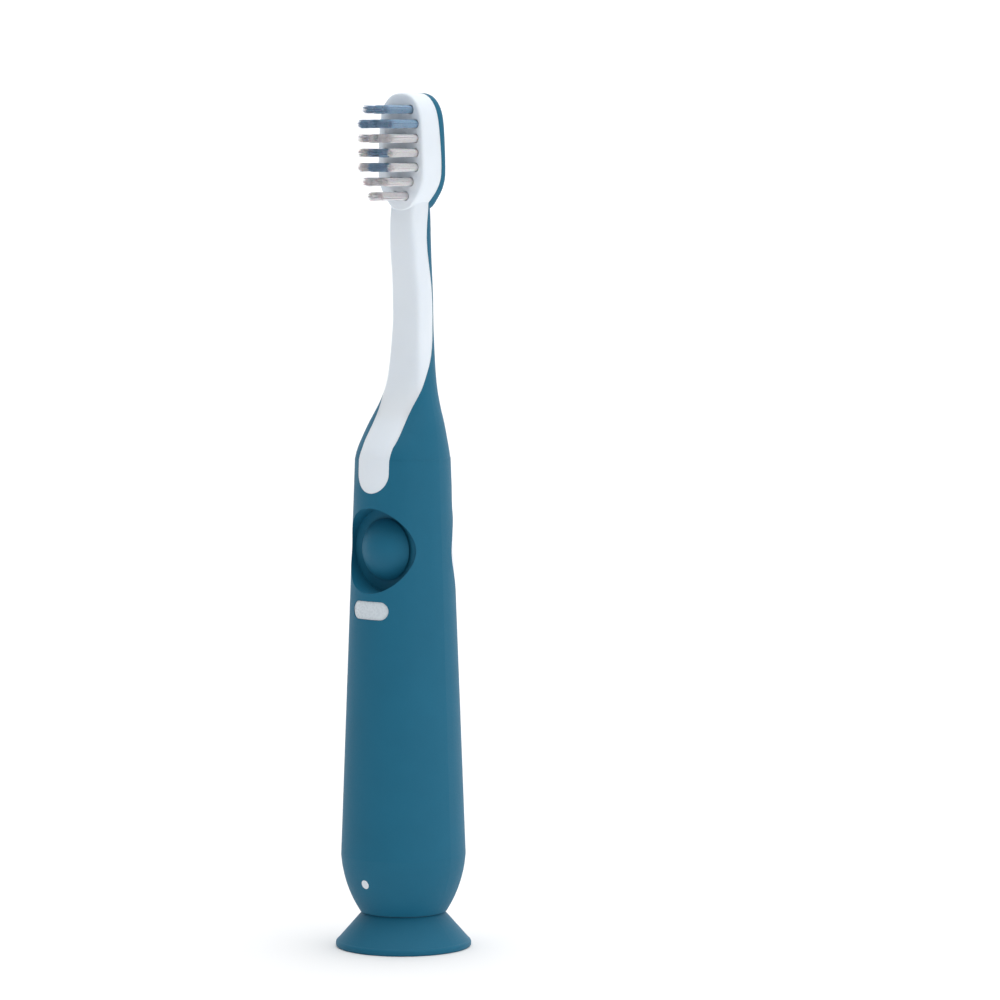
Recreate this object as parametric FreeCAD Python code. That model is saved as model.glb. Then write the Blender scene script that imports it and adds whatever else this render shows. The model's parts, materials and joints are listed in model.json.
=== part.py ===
import FreeCAD, Part
import math
import os

from FreeCAD import Vector

# A child's vibrating toothbrush that stands on its own suction foot, in millimetres.
# The origin is the centre of the foot's underside, +Z is up, and the bristles and button face -Y.

# ---- Driving dimensions ----

# Foot
FOOT_R = 13.7
FOOT_LIP_H = 0.8
FOOT_LIP_ROUND = 0.4
FOOT_EDGE_ROUND = 0.45
FOOT_TOP_Z = 7.0
FOOT_CUP_DEPTH = 2.6
FOOT_WALL = 1.5
STUD_R = 3.0
STUD_LENGTH = 2.2

# Handle: a rounded belly above the waist, then a straight cone up to the shoulder
SEAM_GAP = 0.2
WAIST_WALL = 1.27
BELLY_Z = 18.8
HANDLE_TAPER = 0.0372
CORE_WALL = 2.0
SKIN_T = 1.2

# Clearances
FIT_GAP = 0.05
OVERRUN = 1.0

# Battery cap, chassis and cell
SLIDE_GAP = 0.08
CAP_PLUG_H = 6.0
CAP_FLOOR_T = 2.0
CAP_FLANGE_STEP = 0.6
SEAL_R = 0.55
SEAL_RISE = 2.6
CHASSIS_WALL = 1.8
CHASSIS_DECK_T = 0.8
CELL_R = 5.25
CELL_LENGTH = 43.7
CELL_NUB_R = 1.9
CELL_NUB_H = 0.8
CELL_EDGE_ROUND = 0.35
CELL_GAP = 0.35
SPRING_H = 2.8
SPRING_WIRE_R = 0.3
SPRING_TURNS = 3
SPRING_R = 3.6
SPRING_CONE_DEGREES = -12
CONTACT_T = 0.25
CONTACT_R = 3.4
CONTACT_GAP = 0.1
TAB_HALF_W = 0.75
TAB_RISE = 3.0
STRIP_T = 0.15
STRIP_WIDTH = 3.0
STRIP_END_GAP = 0.4

# Motor
MOTOR_R = 3.0
MOTOR_LENGTH = 7.5
MOTOR_Y = 2.2
CAN_ROUND = 0.4
END_CAP_T = 0.5
SADDLE_WALL = 1.2
SADDLE_H = 5.0
SHAFT_R = 0.4
SHAFT_GAP = 0.05
SHAFT_IN_CAN = 1.7
SHAFT_PROUD = 0.2
HUB_R = 1.1
WEIGHT_R = 2.7
WEIGHT_LENGTH = 2.8
WEIGHT_GAP = 0.5
LEAD_R = 0.3
LEAD_SPREAD = 1.2
HEADROOM = 1.75
BULKHEAD_T = 0.8

# Recesses: one round hole seen from the front and from the back, closed in the middle
RECESS_SIDE_WALL = 1.78
LINER_T = 0.8
LINER_FLOOR_Y = -1.5
LINER_FLOOR_T = 0.7
BEZEL_SIDE = 1.0
BEZEL_TOP = 2.0
BEZEL_BOTTOM = 7.7
BEZEL_DROP = 0.12
BEZEL_T = 0.8
PAD_RIM = 0.6
PAD_CROWN = 2.2

# Control board, between the two recess floors
BOARD_GAP = 0.2
BOARD_T = 0.8
BOARD_W = 11.0
BOARD_SLOT_W = 12.0
BOARD_ABOVE_RECESS = 5.6
BOARD_SLOT_ROOM = 0.5
PLATE_T = 0.8
SKIN_FLOOR_T = 0.5
SWITCH_W = 4.5
SWITCH_H = 1.2
SWITCH_BORE_R = 1.3
SWITCH_PIN_R = 1.2
SWITCH_BORE_DEPTH = 0.95
SWITCH_HOLE_R = 3.6

# Button
BUTTON_RING_GAP = 2.3
BUTTON_CROWN = 3.3
BUTTON_CLEARANCE = 0.6
BUTTON_SHELL_T = 1.0
BUTTON_STEM_R = 1.8
BUTTON_TRAVEL = 0.5

# Timer light
LIGHT_BELOW_RECESS = 11.9
LIGHT_W = 9.2
LIGHT_H = 3.7
LENS_DROP = 0.15
LIGHT_GUIDE_R = 1.1

# Parts on the board's front: width, depth and height, then how far they are from the light
LED_SIZE = (1.6, 0.8, 1.2)
CHIP_SIZE = (4.0, 0.9, 3.0)
CHIP_BELOW_LIGHT = 4.1
CAPACITOR_SIZE = (1.6, 0.8, 1.0)
CAPACITOR_X = 3.8
CAPACITOR_BELOW_LIGHT = 1.5

# Shoulder, neck and strip
SHOULDER_ABOVE_RECESS = 18.2
STRIP_HALF_W = 4.0
STRIP_TIP_ABOVE_RECESS = 11.5
SLOT_W = 1.6
SLOT_FROM = 4.0
SLOT_TO = 39.0
DOT_R = 0.9
DOT_Z = 13.8

# Head
NECK_LENGTH = 47.5
HEAD_LENGTH = 25.5
HEAD_HALF_W = 6.1
HEAD_FRONT_Y = -0.6
HEAD_BACK_Y = 6.7
HEAD_FRONT_ROUND = 0.5
HEAD_BACK_ROUND = 0.9
HEAD_SPLIT_Y = 4.7
SLIT_W = 3.2
SLIT_H = 0.9
SLIT_BELOW_TOP = 3.0

# Bristle tufts: columns in each row, from the top row down, and how far each row is below the top
TUFT_COLUMNS = (3, 4, 4, 4, 4, 3, 2)
TUFT_FIRST_ROW = 3.3
TUFT_ROW_PITCH = 2.88
TUFT_COLUMN_PITCH = 2.6
TUFT_ROOT_R = 0.92
TUFT_TIP_R = 1.1
TUFT_ROOT_DEPTH = 2.6
TUFT_LENGTH = 7.7
BLUE_FRONT_ROWS = (0, 1)
BLUE_INNER_ROWS = (3, 4)
ANCHOR_SIZE = (1.6, 1.1, 0.35)

# ---- Levels that follow from them ----

WAIST_Z = FOOT_TOP_Z + SEAM_GAP
CAP_FLOOR_Z = WAIST_Z + CAP_FLOOR_T
SEAL_Z = WAIST_Z + SEAL_RISE
CELL_Z = CAP_FLOOR_Z + SPRING_H
CELL_TOP_Z = CELL_Z + CELL_LENGTH + CELL_NUB_H
CONTACT_Z = CELL_TOP_Z + CONTACT_GAP
DECK_Z = CONTACT_Z + CONTACT_T
MOTOR_SEAT_Z = DECK_Z + CHASSIS_DECK_T
CAN_Z = MOTOR_SEAT_Z + END_CAP_T
CAN_TOP_Z = CAN_Z + MOTOR_LENGTH
WEIGHT_Z = CAN_TOP_Z + WEIGHT_GAP
WEIGHT_TOP_Z = WEIGHT_Z + WEIGHT_LENGTH
CAVITY_TOP_Z = WEIGHT_TOP_Z + HEADROOM
LINER_BOTTOM_Z = CAVITY_TOP_Z + BULKHEAD_T

# The handle is sized round its cell: chassis, bore, pale wall and skin, one inside the other.
CHASSIS_BORE_R = CELL_R + CELL_GAP
CHASSIS_R = CHASSIS_BORE_R + CHASSIS_WALL
BORE_R = CHASSIS_R + SLIDE_GAP
WAIST_R = BORE_R + WAIST_WALL
BELLY_R = BORE_R + CORE_WALL + SKIN_T + HANDLE_TAPER * (CAVITY_TOP_Z - BELLY_Z)


def cone_radius(z):
    """Radius of the handle's cone at height z."""
    return BELLY_R - HANDLE_TAPER * (z - BELLY_Z)


# The hole leaves RECESS_SIDE_WALL of handle beside it at its own centre height.
RECESS_R = (cone_radius(LINER_BOTTOM_Z + LINER_T) - RECESS_SIDE_WALL) / (1 + HANDLE_TAPER)
RECESS_Z = LINER_BOTTOM_Z + LINER_T + RECESS_R
SHOULDER_Z = RECESS_Z + SHOULDER_ABOVE_RECESS
SHOULDER_R = cone_radius(SHOULDER_Z)
HEAD_Z = SHOULDER_Z + NECK_LENGTH
TOP_Z = HEAD_Z + HEAD_LENGTH
LIGHT_Z = RECESS_Z - LIGHT_BELOW_RECESS
LINER_BACK_Y = LINER_FLOOR_Y - LINER_FLOOR_T
BOARD_BACK_Y = LINER_BACK_Y - BOARD_GAP
BOARD_FRONT_Y = BOARD_BACK_Y - BOARD_T
PLATE_BACK_Y = BOARD_FRONT_Y - BOARD_GAP
PLATE_FRONT_Y = PLATE_BACK_Y - PLATE_T
RECESS_FLOOR_Y = PLATE_FRONT_Y - SKIN_FLOOR_T
SWITCH_FRONT_Y = BOARD_FRONT_Y - SWITCH_H
BUTTON_R = RECESS_R - BUTTON_RING_GAP
BUTTON_SKIRT_Y = RECESS_FLOOR_Y - BUTTON_CLEARANCE
STEM_END_Y = SWITCH_FRONT_Y - BUTTON_CLEARANCE
CAP_PLUG_R = BORE_R - SLIDE_GAP
CAP_TOP_Z = WAIST_Z + CAP_PLUG_H
CHASSIS_Z = CAP_TOP_Z + CONTACT_GAP
FAR = 60.0

# Shoulder stations: height above the shoulder, then how much of the handle's half-width, front
# and back is still left there (1 on the handle, 0 on the plain neck), and the front's squareness.
SHOULDER_STATIONS = (
    (0.0, 1.0, 1.0, 1.0, 2.0),
    (3.5, 0.89, 0.80, 0.67, 2.1),
    (7.0, 0.72, 0.52, 0.43, 2.3),
    (10.5, 0.46, 0.28, 0.30, 2.8),
    (14.0, 0.26, 0.12, 0.22, 3.6),
    (19.0, 0.12, 0.02, 0.16, 5.0),
)
NECK_HALF_W = 3.6
NECK_FRONT_Y = 0.2
NECK_BACK_Y = 7.6
NECK_SIDE_Y = 3.4
NECK_SQUARE = 6.5
# Neck stations: share of the neck's length, then what is added to its half-width, front and back.
NECK_STATIONS = (
    (0.526, 0.25, 0.35, 0.1),
    (0.63, 0.16, 0.5, 0.0),
    (0.80, 0.0, -0.1, -0.4),
    (0.95, -0.08, -0.75, -0.8),
    (1.08, -0.1, -0.4, -1.4),
)
OUTLINE_POINTS = 40
SHOULDER_LEDGE = 0.05
SHOULDER_ROOT = 1.5


# ---- Helpers ----


def cylinder_z(radius, z0, z1, x=0.0, y=0.0):
    """Upright cylinder between two heights."""
    return Part.makeCylinder(radius, z1 - z0, Vector(x, y, z0))


def cylinder_y(radius, y0, y1, x=0.0, z=0.0):
    """Cylinder along Y between two depths."""
    return Part.makeCylinder(radius, y1 - y0, Vector(x, y0, z), Vector(0, 1, 0))


def block(x0, x1, y0, y1, z0, z1):
    """Box between six planes."""
    return Part.makeBox(x1 - x0, y1 - y0, z1 - z0, Vector(x0, y0, z0))


def turned(points, arcs=()):
    """Solid of revolution about Z. points are (radius, z); arcs maps a run's index to its middle point."""
    arcs = dict(arcs)
    edges = []
    for i, start in enumerate(points):
        end = points[(i + 1) % len(points)]
        a = Vector(start[0], 0, start[1])
        b = Vector(end[0], 0, end[1])
        if i in arcs:
            middle = Vector(arcs[i][0], 0, arcs[i][1])
            edges.append(Part.Arc(a, middle, b).toShape())
        else:
            edges.append(Part.LineSegment(a, b).toShape())
    face = Part.Face(Part.Wire(edges))
    return face.revolve(Vector(0, 0, 0), Vector(0, 0, 1), 360)


def cap_of_sphere(radius, crown, base_y, z):
    """Domed cap whose flat round base lies at base_y and whose crown stands towards -Y."""
    ball_r = (radius * radius + crown * crown) / (2 * crown)
    ball = Part.makeSphere(ball_r, Vector(0, base_y - crown + ball_r, z))
    return ball.common(cylinder_y(radius, base_y - crown - 1, base_y, 0, z))


def pill_y(width, height, y0, y1, z):
    """Bar along Y with a pill-shaped section that is wider than it is high, or the other way round."""
    long_side = max(width, height)
    r = min(width, height) / 2
    half = long_side / 2 - r
    if width > height:
        ends = [(-half, z), (half, z)]
        middle = block(-half, half, y0, y1, z - r, z + r)
    else:
        ends = [(0, z - half), (0, z + half)]
        middle = block(-r, r, y0, y1, z - half, z + half)
    bar = middle
    for x, level in ends:
        bar = bar.fuse(cylinder_y(r, y0, y1, x, level))
    return bar.removeSplitter()


def prism_along_x(points, half_length):
    """Solid between -half_length and +half_length in X, from a smooth (y, z) curve closed far behind."""
    curve = Part.BSplineCurve()
    curve.interpolate([Vector(-half_length, y, z) for y, z in points])
    first = Vector(-half_length, points[0][0], points[0][1])
    last = Vector(-half_length, points[-1][0], points[-1][1])
    corner_low = Vector(-half_length, -FAR, last.z)
    corner_high = Vector(-half_length, -FAR, first.z)
    wire = Part.Wire(
        [
            curve.toShape(),
            Part.LineSegment(last, corner_low).toShape(),
            Part.LineSegment(corner_low, corner_high).toShape(),
            Part.LineSegment(corner_high, first).toShape(),
        ]
    )
    return Part.Face(wire).extrude(Vector(2 * half_length, 0, 0))


def closed_curve(points):
    """Closed smooth wire through points, evenly parametrised so that such wires loft cleanly."""
    count = len(points)
    curve = Part.BSplineCurve()
    steps = [i / count for i in range(count + 1)]
    curve.interpolate(Points=points, Parameters=steps, PeriodicFlag=True)
    return Part.Wire(curve.toShape())


def loft(wires):
    """Smooth solid through closed wires."""
    return Part.makeLoft(wires, True, False)


def carved(shape, tools):
    """The shape with each tool cut out of it, one after the other."""
    for tool in tools:
        shape = shape.cut(tool)
    return shape


def blend(start, end, share):
    """Value that is share of the way from start to end."""
    return start + share * (end - start)


# ---- Outer shape ----


def section(z, half_w, front_y, back_y, side_y, square, inset):
    """Closed section at height z: squarish in front of side_y and rounded behind it."""
    points = []
    for i in range(OUTLINE_POINTS):
        angle = 2 * math.pi * i / OUTLINE_POINTS
        c = math.cos(angle)
        s = math.sin(angle)
        power = square if s < 0 else 2.0
        depth = (side_y - front_y if s < 0 else back_y - side_y) - inset
        width = half_w - inset
        reach = (abs(c / width) ** power + abs(s / depth) ** power) ** (-1 / power)
        points.append(Vector(reach * c, side_y + reach * s, z))
    return closed_curve(points)


def shoulder_and_neck(inset=0.0):
    """Shoulder and neck, rooted in the top of the handle's cone and ending in the head."""
    root_r = SHOULDER_R - SHOULDER_LEDGE
    wires = [section(SHOULDER_Z - SHOULDER_ROOT, root_r, -root_r, root_r, 0.0, 2.0, inset)]
    for rise, width_left, front_left, back_left, square in SHOULDER_STATIONS:
        half_w = blend(NECK_HALF_W, root_r, width_left)
        front_y = blend(NECK_FRONT_Y, -root_r, front_left)
        back_y = blend(NECK_BACK_Y, root_r, back_left)
        side_y = blend(NECK_SIDE_Y, 0.0, width_left)
        wires.append(section(SHOULDER_Z + rise, half_w, front_y, back_y, side_y, square, inset))
    for share, add_w, add_front, add_back in NECK_STATIONS:
        z = SHOULDER_Z + share * NECK_LENGTH
        half_w = NECK_HALF_W + add_w
        front_y = NECK_FRONT_Y + add_front
        back_y = NECK_BACK_Y + add_back
        wires.append(section(z, half_w, front_y, back_y, NECK_SIDE_Y, NECK_SQUARE, inset))
    return loft(wires)


def handle_cone(inset=0.0, z0=WAIST_Z):
    """Handle from the waist to the shoulder, drawn in by inset."""
    arc_r = blend(WAIST_R, BELLY_R, 0.615)
    arc_z = blend(WAIST_Z, BELLY_Z, 0.41)
    points = [
        (0, z0),
        (WAIST_R - inset, z0),
        (BELLY_R - inset, BELLY_Z),
        (SHOULDER_R - inset, SHOULDER_Z),
        (0, SHOULDER_Z),
    ]
    return turned(points, {1: (arc_r - inset, arc_z)})


def head_outline(y, side_in, top_in, bottom_in):
    """Closed head outline at depth y: a rounded paddle that narrows into the neck."""
    right = (
        (0.0, 0.075),
        (0.27, 0.085),
        (0.46, 0.112),
        (0.61, 0.155),
        (0.82, 0.225),
        (0.96, 0.305),
        (1.0, 0.42),
        (0.955, 0.68),
        (0.82, 0.87),
        (0.46, 0.975),
        (0.0, 1.0),
    )
    half_w = HEAD_HALF_W - side_in
    low = HEAD_Z + bottom_in
    high = TOP_Z - top_in
    points = [Vector(u * half_w, y, low + v * (high - low)) for u, v in right]
    left = [Vector(-p.x, p.y, p.z) for p in reversed(points[1:-1])]
    return closed_curve(points + left)


def head():
    """Head paddle with a small round along its front edge and a larger one along its back edge."""
    wires = []
    for degrees in (90, 60, 30, 0):
        a = math.radians(degrees)
        r = HEAD_FRONT_ROUND
        drawn_in = r * (1 - math.cos(a))
        wires.append(head_outline(HEAD_FRONT_Y + r * (1 - math.sin(a)), drawn_in, drawn_in, drawn_in))
    for share in (0.33, 0.66):
        y = blend(HEAD_FRONT_Y + HEAD_FRONT_ROUND, HEAD_BACK_Y - HEAD_BACK_ROUND, share)
        wires.append(head_outline(y, 0, 0, 0))
    for degrees in (0, 30, 60, 90):
        a = math.radians(degrees)
        r = HEAD_BACK_ROUND
        drawn_in = r * (1 - math.cos(a))
        wires.append(head_outline(HEAD_BACK_Y - r * (1 - math.sin(a)), drawn_in, drawn_in, drawn_in))
    return loft(wires)


def outer_shape():
    """Whole outside of the brush above the foot."""
    return handle_cone().fuse(shoulder_and_neck()).fuse(head())


# ---- Where the pale body shows or fills ----


def pale_zone():
    """Everything that the pale body takes: inside the skin, and the neck front, strip, slot and dots."""
    parting = prism_along_x(
        (
            (HEAD_SPLIT_Y, TOP_Z + 5),
            (HEAD_SPLIT_Y, TOP_Z - 9),
            (HEAD_SPLIT_Y, HEAD_Z + 8),
            (NECK_SIDE_Y + 0.1, HEAD_Z),
            (NECK_SIDE_Y + 0.2, HEAD_Z - 6),
            (NECK_SIDE_Y + 1.7, HEAD_Z - 15),
            (NECK_SIDE_Y + 1.7, HEAD_Z - 22),
            (NECK_SIDE_Y + 0.2, SHOULDER_Z + 19.5),
            (NECK_SIDE_Y - 1.7, SHOULDER_Z + 16.2),
            (-0.5 * SHOULDER_R, SHOULDER_Z + 6.2),
            (-1.15 * SHOULDER_R, SHOULDER_Z - 1.8),
        ),
        FAR / 3,
    )
    skin_inside = handle_cone(SKIN_T).fuse(shoulder_and_neck(SKIN_T))
    strip_z = RECESS_Z + STRIP_TIP_ABOVE_RECESS
    strip = block(-STRIP_HALF_W, STRIP_HALF_W, -FAR, 0, strip_z + STRIP_HALF_W, SHOULDER_Z + 8)
    strip = strip.fuse(cylinder_y(STRIP_HALF_W, -FAR, 0, 0, strip_z + STRIP_HALF_W))
    slot_z = SHOULDER_Z + (SLOT_FROM + SLOT_TO) / 2
    slot = pill_y(SLOT_W, SLOT_TO - SLOT_FROM, 0, FAR, slot_z)
    slit = pill_y(SLIT_W, SLIT_H, 0, FAR, TOP_Z - SLIT_BELOW_TOP)
    front_dot = cylinder_y(DOT_R, -FAR, -BORE_R, 0, DOT_Z)
    back_dot = cylinder_y(DOT_R, BORE_R, FAR, 0, DOT_Z)
    zone = parting
    for extra in (skin_inside, strip, slot, slit, front_dot, back_dot):
        zone = zone.fuse(extra)
    return zone.cut(cylinder_y(RECESS_R + LINER_T, -FAR, PLATE_FRONT_Y, 0, RECESS_Z))


def bezel_prism(grow=0.0):
    """Egg-shaped bar along +Y that outlines the rear bezel: round above, drawn out below."""
    half_w = RECESS_R + BEZEL_SIDE + grow
    top = RECESS_Z + RECESS_R + BEZEL_TOP + grow
    bottom = RECESS_Z - RECESS_R - BEZEL_BOTTOM - grow
    down = RECESS_Z - bottom
    right = (
        (0.0, top),
        (0.72 * half_w, RECESS_Z + 0.72 * (top - RECESS_Z)),
        (half_w, RECESS_Z - 0.02 * down),
        (0.89 * half_w, RECESS_Z - 0.46 * down),
        (0.53 * half_w, RECESS_Z - 0.88 * down),
        (0.0, bottom),
    )
    points = [Vector(x, 0, z) for x, z in right]
    points += [Vector(-x, 0, z) for x, z in reversed(right[1:-1])]
    return Part.Face(closed_curve(points)).extrude(Vector(0, FAR, 0))


def light_bar(y0, grow=0.0):
    """Pill-shaped bar of the timer light, from y0 forwards through the handle's front."""
    return pill_y(LIGHT_W + 2 * grow, LIGHT_H + 2 * grow, -FAR, y0, LIGHT_Z)


def openings():
    """Tools for everything hollow in the brush: bore, board slot, recesses, light hole and bezel pocket."""
    bore = cylinder_z(BORE_R, 0, CAVITY_TOP_Z)
    slot = block(
        -BOARD_SLOT_W / 2,
        BOARD_SLOT_W / 2,
        PLATE_BACK_Y,
        LINER_BACK_Y,
        CAVITY_TOP_Z - OVERRUN,
        RECESS_Z + BOARD_ABOVE_RECESS + BOARD_SLOT_ROOM,
    )
    front = cylinder_y(RECESS_R, -FAR, RECESS_FLOOR_Y, 0, RECESS_Z)
    switch_hole = cylinder_y(SWITCH_HOLE_R, RECESS_FLOOR_Y - OVERRUN, PLATE_BACK_Y, 0, RECESS_Z)
    rear = cylinder_y(RECESS_R + LINER_T, LINER_BACK_Y, FAR, 0, RECESS_Z)
    return [bore, slot, front, switch_hole, rear, light_bar(-BORE_R + OVERRUN), bezel_pocket()]


def bezel_pocket():
    """Pocket in the skin for the rear bezel."""
    solid_core = handle_cone(BEZEL_DROP + BEZEL_T)
    return bezel_prism().cut(solid_core)


def tuft_places(row_wanted, inner_only=None):
    """Places (x, z) of the tufts in the wanted rows; inner_only picks the inner or the outer pair."""
    places = []
    for row, columns in enumerate(TUFT_COLUMNS):
        if row not in row_wanted:
            continue
        z = TOP_Z - TUFT_FIRST_ROW - row * TUFT_ROW_PITCH
        for column in range(columns):
            x = (column - (columns - 1) / 2) * TUFT_COLUMN_PITCH
            inner = abs(x) < TUFT_COLUMN_PITCH
            if inner_only is None or inner == inner_only:
                places.append((x, z))
    return places


def all_tuft_places():
    """Places of every tuft."""
    return tuft_places(range(len(TUFT_COLUMNS)))


# ---- Pieces of the brush ----


def body_core(outer, zone, tools):
    """Pale rigid body: head plate, neck, strip and handle tube."""
    core = carved(outer.common(zone), tools)
    root_y = HEAD_FRONT_Y + TUFT_ROOT_DEPTH
    start_y = HEAD_FRONT_Y - OVERRUN
    holes = [cylinder_y(TUFT_ROOT_R, start_y, root_y, x, z) for x, z in all_tuft_places()]
    return core.cut(Part.makeCompound(holes))


def overmould_skin(outer, zone, tools):
    """Soft blue skin over the handle, the back of the neck and the back of the head."""
    return carved(outer.cut(zone), tools)


def finger_liner():
    """Pale snap-in liner of the rear recess: floor, round wall and egg-shaped bezel."""
    tube = cylinder_y(RECESS_R + LINER_T, LINER_BACK_Y, FAR, 0, RECESS_Z)
    ring = tube.fuse(bezel_prism(-FIT_GAP).cut(handle_cone(BEZEL_DROP + BEZEL_T - FIT_GAP)))
    ring = ring.common(handle_cone(BEZEL_DROP))
    return ring.cut(cylinder_y(RECESS_R, LINER_FLOOR_Y, FAR, 0, RECESS_Z))


def recess_pad():
    """Blue pad on the liner's floor, gently crowned towards the finger."""
    pad = cap_of_sphere(RECESS_R - PAD_RIM, PAD_CROWN, 0, RECESS_Z)
    pad.rotate(Vector(0, 0, RECESS_Z), Vector(0, 0, 1), 180)
    pad.translate(Vector(0, LINER_FLOOR_Y, 0))
    return pad


def light_window():
    """Clear lens of the timer light with its guide down to the lamp."""
    lens = light_bar(-BORE_R + OVERRUN, -FIT_GAP).common(handle_cone(LENS_DROP))
    lens = lens.cut(cylinder_z(BORE_R, LIGHT_Z - LIGHT_H, LIGHT_Z + LIGHT_H))
    guide_end = BOARD_FRONT_Y - LED_SIZE[1] - BOARD_GAP
    guide = cylinder_y(LIGHT_GUIDE_R, -BORE_R - OVERRUN / 2, guide_end, 0, LIGHT_Z)
    return lens.fuse(guide)


def button_shapes():
    """Blue dome of the button, and the rigid insert moulded inside it with its stem."""
    dome = cap_of_sphere(BUTTON_R, BUTTON_CROWN, BUTTON_SKIRT_Y, RECESS_Z)
    insert_r = BUTTON_R - BUTTON_SHELL_T
    insert_crown = BUTTON_CROWN - BUTTON_SHELL_T
    insert = cap_of_sphere(insert_r, insert_crown, BUTTON_SKIRT_Y, RECESS_Z)
    stem = cylinder_y(BUTTON_STEM_R, BUTTON_SKIRT_Y - OVERRUN, STEM_END_Y, 0, RECESS_Z)
    return dome.cut(insert).cut(stem), insert.fuse(stem)


def circuit_board():
    """Control board, narrow enough for the slot behind the button."""
    high = RECESS_Z + BOARD_ABOVE_RECESS
    return block(-BOARD_W / 2, BOARD_W / 2, BOARD_FRONT_Y, BOARD_BACK_Y, MOTOR_SEAT_Z, high)


def on_board(size, x, z):
    """Block of a given width, depth and height that sits on the board's front."""
    width, depth, height = size
    x0 = x - width / 2
    z0 = z - height / 2
    return block(x0, x0 + width, BOARD_FRONT_Y - depth, BOARD_FRONT_Y, z0, z0 + height)


def tact_switch():
    """Square switch body with the blind hole that its pin moves in."""
    half = SWITCH_W / 2
    body = block(-half, half, SWITCH_FRONT_Y, BOARD_FRONT_Y, RECESS_Z - half, RECESS_Z + half)
    bottom_y = SWITCH_FRONT_Y + SWITCH_BORE_DEPTH
    return body.cut(cylinder_y(SWITCH_BORE_R, SWITCH_FRONT_Y - OVERRUN, bottom_y, 0, RECESS_Z))


def switch_plunger():
    """Pin of the switch, which the button's stem pushes."""
    end_y = SWITCH_FRONT_Y + SWITCH_BORE_DEPTH - BUTTON_TRAVEL - FIT_GAP
    return cylinder_y(SWITCH_PIN_R, STEM_END_Y, end_y, 0, RECESS_Z)


def chassis_tube():
    """Battery tube with a deck on top and a saddle for the motor."""
    tube = cylinder_z(CHASSIS_R, CHASSIS_Z, MOTOR_SEAT_Z)
    tube = tube.cut(cylinder_z(CHASSIS_BORE_R, CHASSIS_Z - OVERRUN, DECK_Z))
    low = MOTOR_SEAT_Z - CHASSIS_DECK_T / 2
    high = MOTOR_SEAT_Z + SADDLE_H
    saddle = cylinder_z(MOTOR_R + SADDLE_WALL, low, high, 0, MOTOR_Y)
    saddle = saddle.common(cylinder_z(CHASSIS_R, low, high))
    saddle = saddle.cut(cylinder_z(MOTOR_R, MOTOR_SEAT_Z, high + OVERRUN, 0, MOTOR_Y))
    saddle = saddle.cut(block(-FAR, FAR, -FAR, 0, MOTOR_SEAT_Z, high + OVERRUN))
    tab_slot = block(
        -TAB_HALF_W - CONTACT_T,
        TAB_HALF_W + CONTACT_T,
        BOARD_FRONT_Y - 2 * CONTACT_T,
        BOARD_FRONT_Y + CONTACT_T,
        DECK_Z - OVERRUN,
        MOTOR_SEAT_Z + OVERRUN,
    )
    return tube.fuse(saddle).cut(tab_slot)


def positive_contact():
    """Nickel strip: a plate above the cell's nub, with a tab up to the board."""
    plate = cylinder_z(CONTACT_R, CONTACT_Z, DECK_Z)
    top_z = MOTOR_SEAT_Z + TAB_RISE
    tab = block(-TAB_HALF_W, TAB_HALF_W, BOARD_FRONT_Y - CONTACT_T, BOARD_FRONT_Y, CONTACT_Z, top_z)
    return plate.fuse(tab).removeSplitter()


def negative_strip():
    """Nickel strip along the chassis, from the cap's spring level up to the board."""
    half_w = STRIP_WIDTH / 2
    inside = cylinder_z(CHASSIS_BORE_R - STRIP_T, CHASSIS_Z - OVERRUN, DECK_Z + OVERRUN)
    arc = cylinder_z(CHASSIS_BORE_R, CHASSIS_Z, DECK_Z).cut(inside)
    return arc.common(block(-half_w, half_w, 0, FAR, CHASSIS_Z, DECK_Z - STRIP_END_GAP))


def motor_can():
    """Steel can of the vibration motor, with its shaft hole."""
    can = cylinder_z(MOTOR_R, CAN_Z, CAN_TOP_Z, 0, MOTOR_Y)
    top_rims = [e for e in can.Edges if abs(e.BoundBox.ZMin - CAN_TOP_Z) < FIT_GAP]
    can = can.makeFillet(CAN_ROUND, top_rims)
    bottom_z = CAN_TOP_Z - SHAFT_IN_CAN - 2 * SHAFT_GAP
    return can.cut(cylinder_z(SHAFT_R + SHAFT_GAP, bottom_z, CAN_TOP_Z + OVERRUN, 0, MOTOR_Y))


def motor_end_cap():
    """White plastic cap that closes the can at its lead end."""
    return cylinder_z(MOTOR_R, MOTOR_SEAT_Z, CAN_Z, 0, MOTOR_Y)


def motor_shaft():
    """Shaft of the motor."""
    return cylinder_z(SHAFT_R, CAN_TOP_Z - SHAFT_IN_CAN, WEIGHT_TOP_Z + SHAFT_PROUD, 0, MOTOR_Y)


def eccentric_weight():
    """Half-round tungsten weight pressed on the shaft."""
    disc = cylinder_z(WEIGHT_R, WEIGHT_Z, WEIGHT_TOP_Z, 0, MOTOR_Y)
    low = WEIGHT_Z - OVERRUN
    high = WEIGHT_TOP_Z + OVERRUN
    half = disc.common(block(-FAR, FAR, MOTOR_Y, FAR, low, high))
    hub = cylinder_z(HUB_R, WEIGHT_Z, WEIGHT_TOP_Z, 0, MOTOR_Y)
    return half.fuse(hub).cut(cylinder_z(SHAFT_R, low, high, 0, MOTOR_Y))


def motor_lead(side):
    """Short insulated lead from the back of the board to the motor's end cap."""
    lead = cylinder_y(LEAD_R, BOARD_BACK_Y, MOTOR_Y, side * LEAD_SPREAD, MOTOR_SEAT_Z + LEAD_R)
    return lead.cut(cylinder_z(MOTOR_R, MOTOR_SEAT_Z - OVERRUN, CAN_TOP_Z, 0, MOTOR_Y))


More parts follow.
